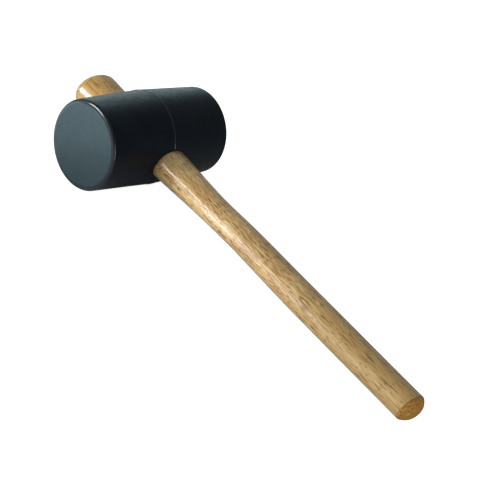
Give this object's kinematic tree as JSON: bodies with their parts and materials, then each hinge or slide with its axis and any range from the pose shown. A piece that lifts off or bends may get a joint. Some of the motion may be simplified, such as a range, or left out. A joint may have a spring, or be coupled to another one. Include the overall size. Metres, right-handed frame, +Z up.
{
  "type": "rubber mallet",
  "caption": "Rubber mallet with a solid black drafted head on a lacquered oval beech handle whose flared top is driven through the head's tapered eye.",
  "frame": {"origin": "bottom centre of the bounding box of the mallet lying on its side, on its mould line and its grip's end", "axes": "+X along the handle to the grip's end, +Y along the head from one striking face to the other, +Z up"},
  "size_m": [0.3438, 0.11, 0.0671],
  "materials": {
    "black_rubber": "matt moulded rubber with a faint grey bloom",
    "lacquered_beech": "turned beech under clear gloss lacquer"
  },
  "bodies": {
    "root": {"head": "black_rubber", "handle": "lacquered_beech"}
  },
  "joints": []
}
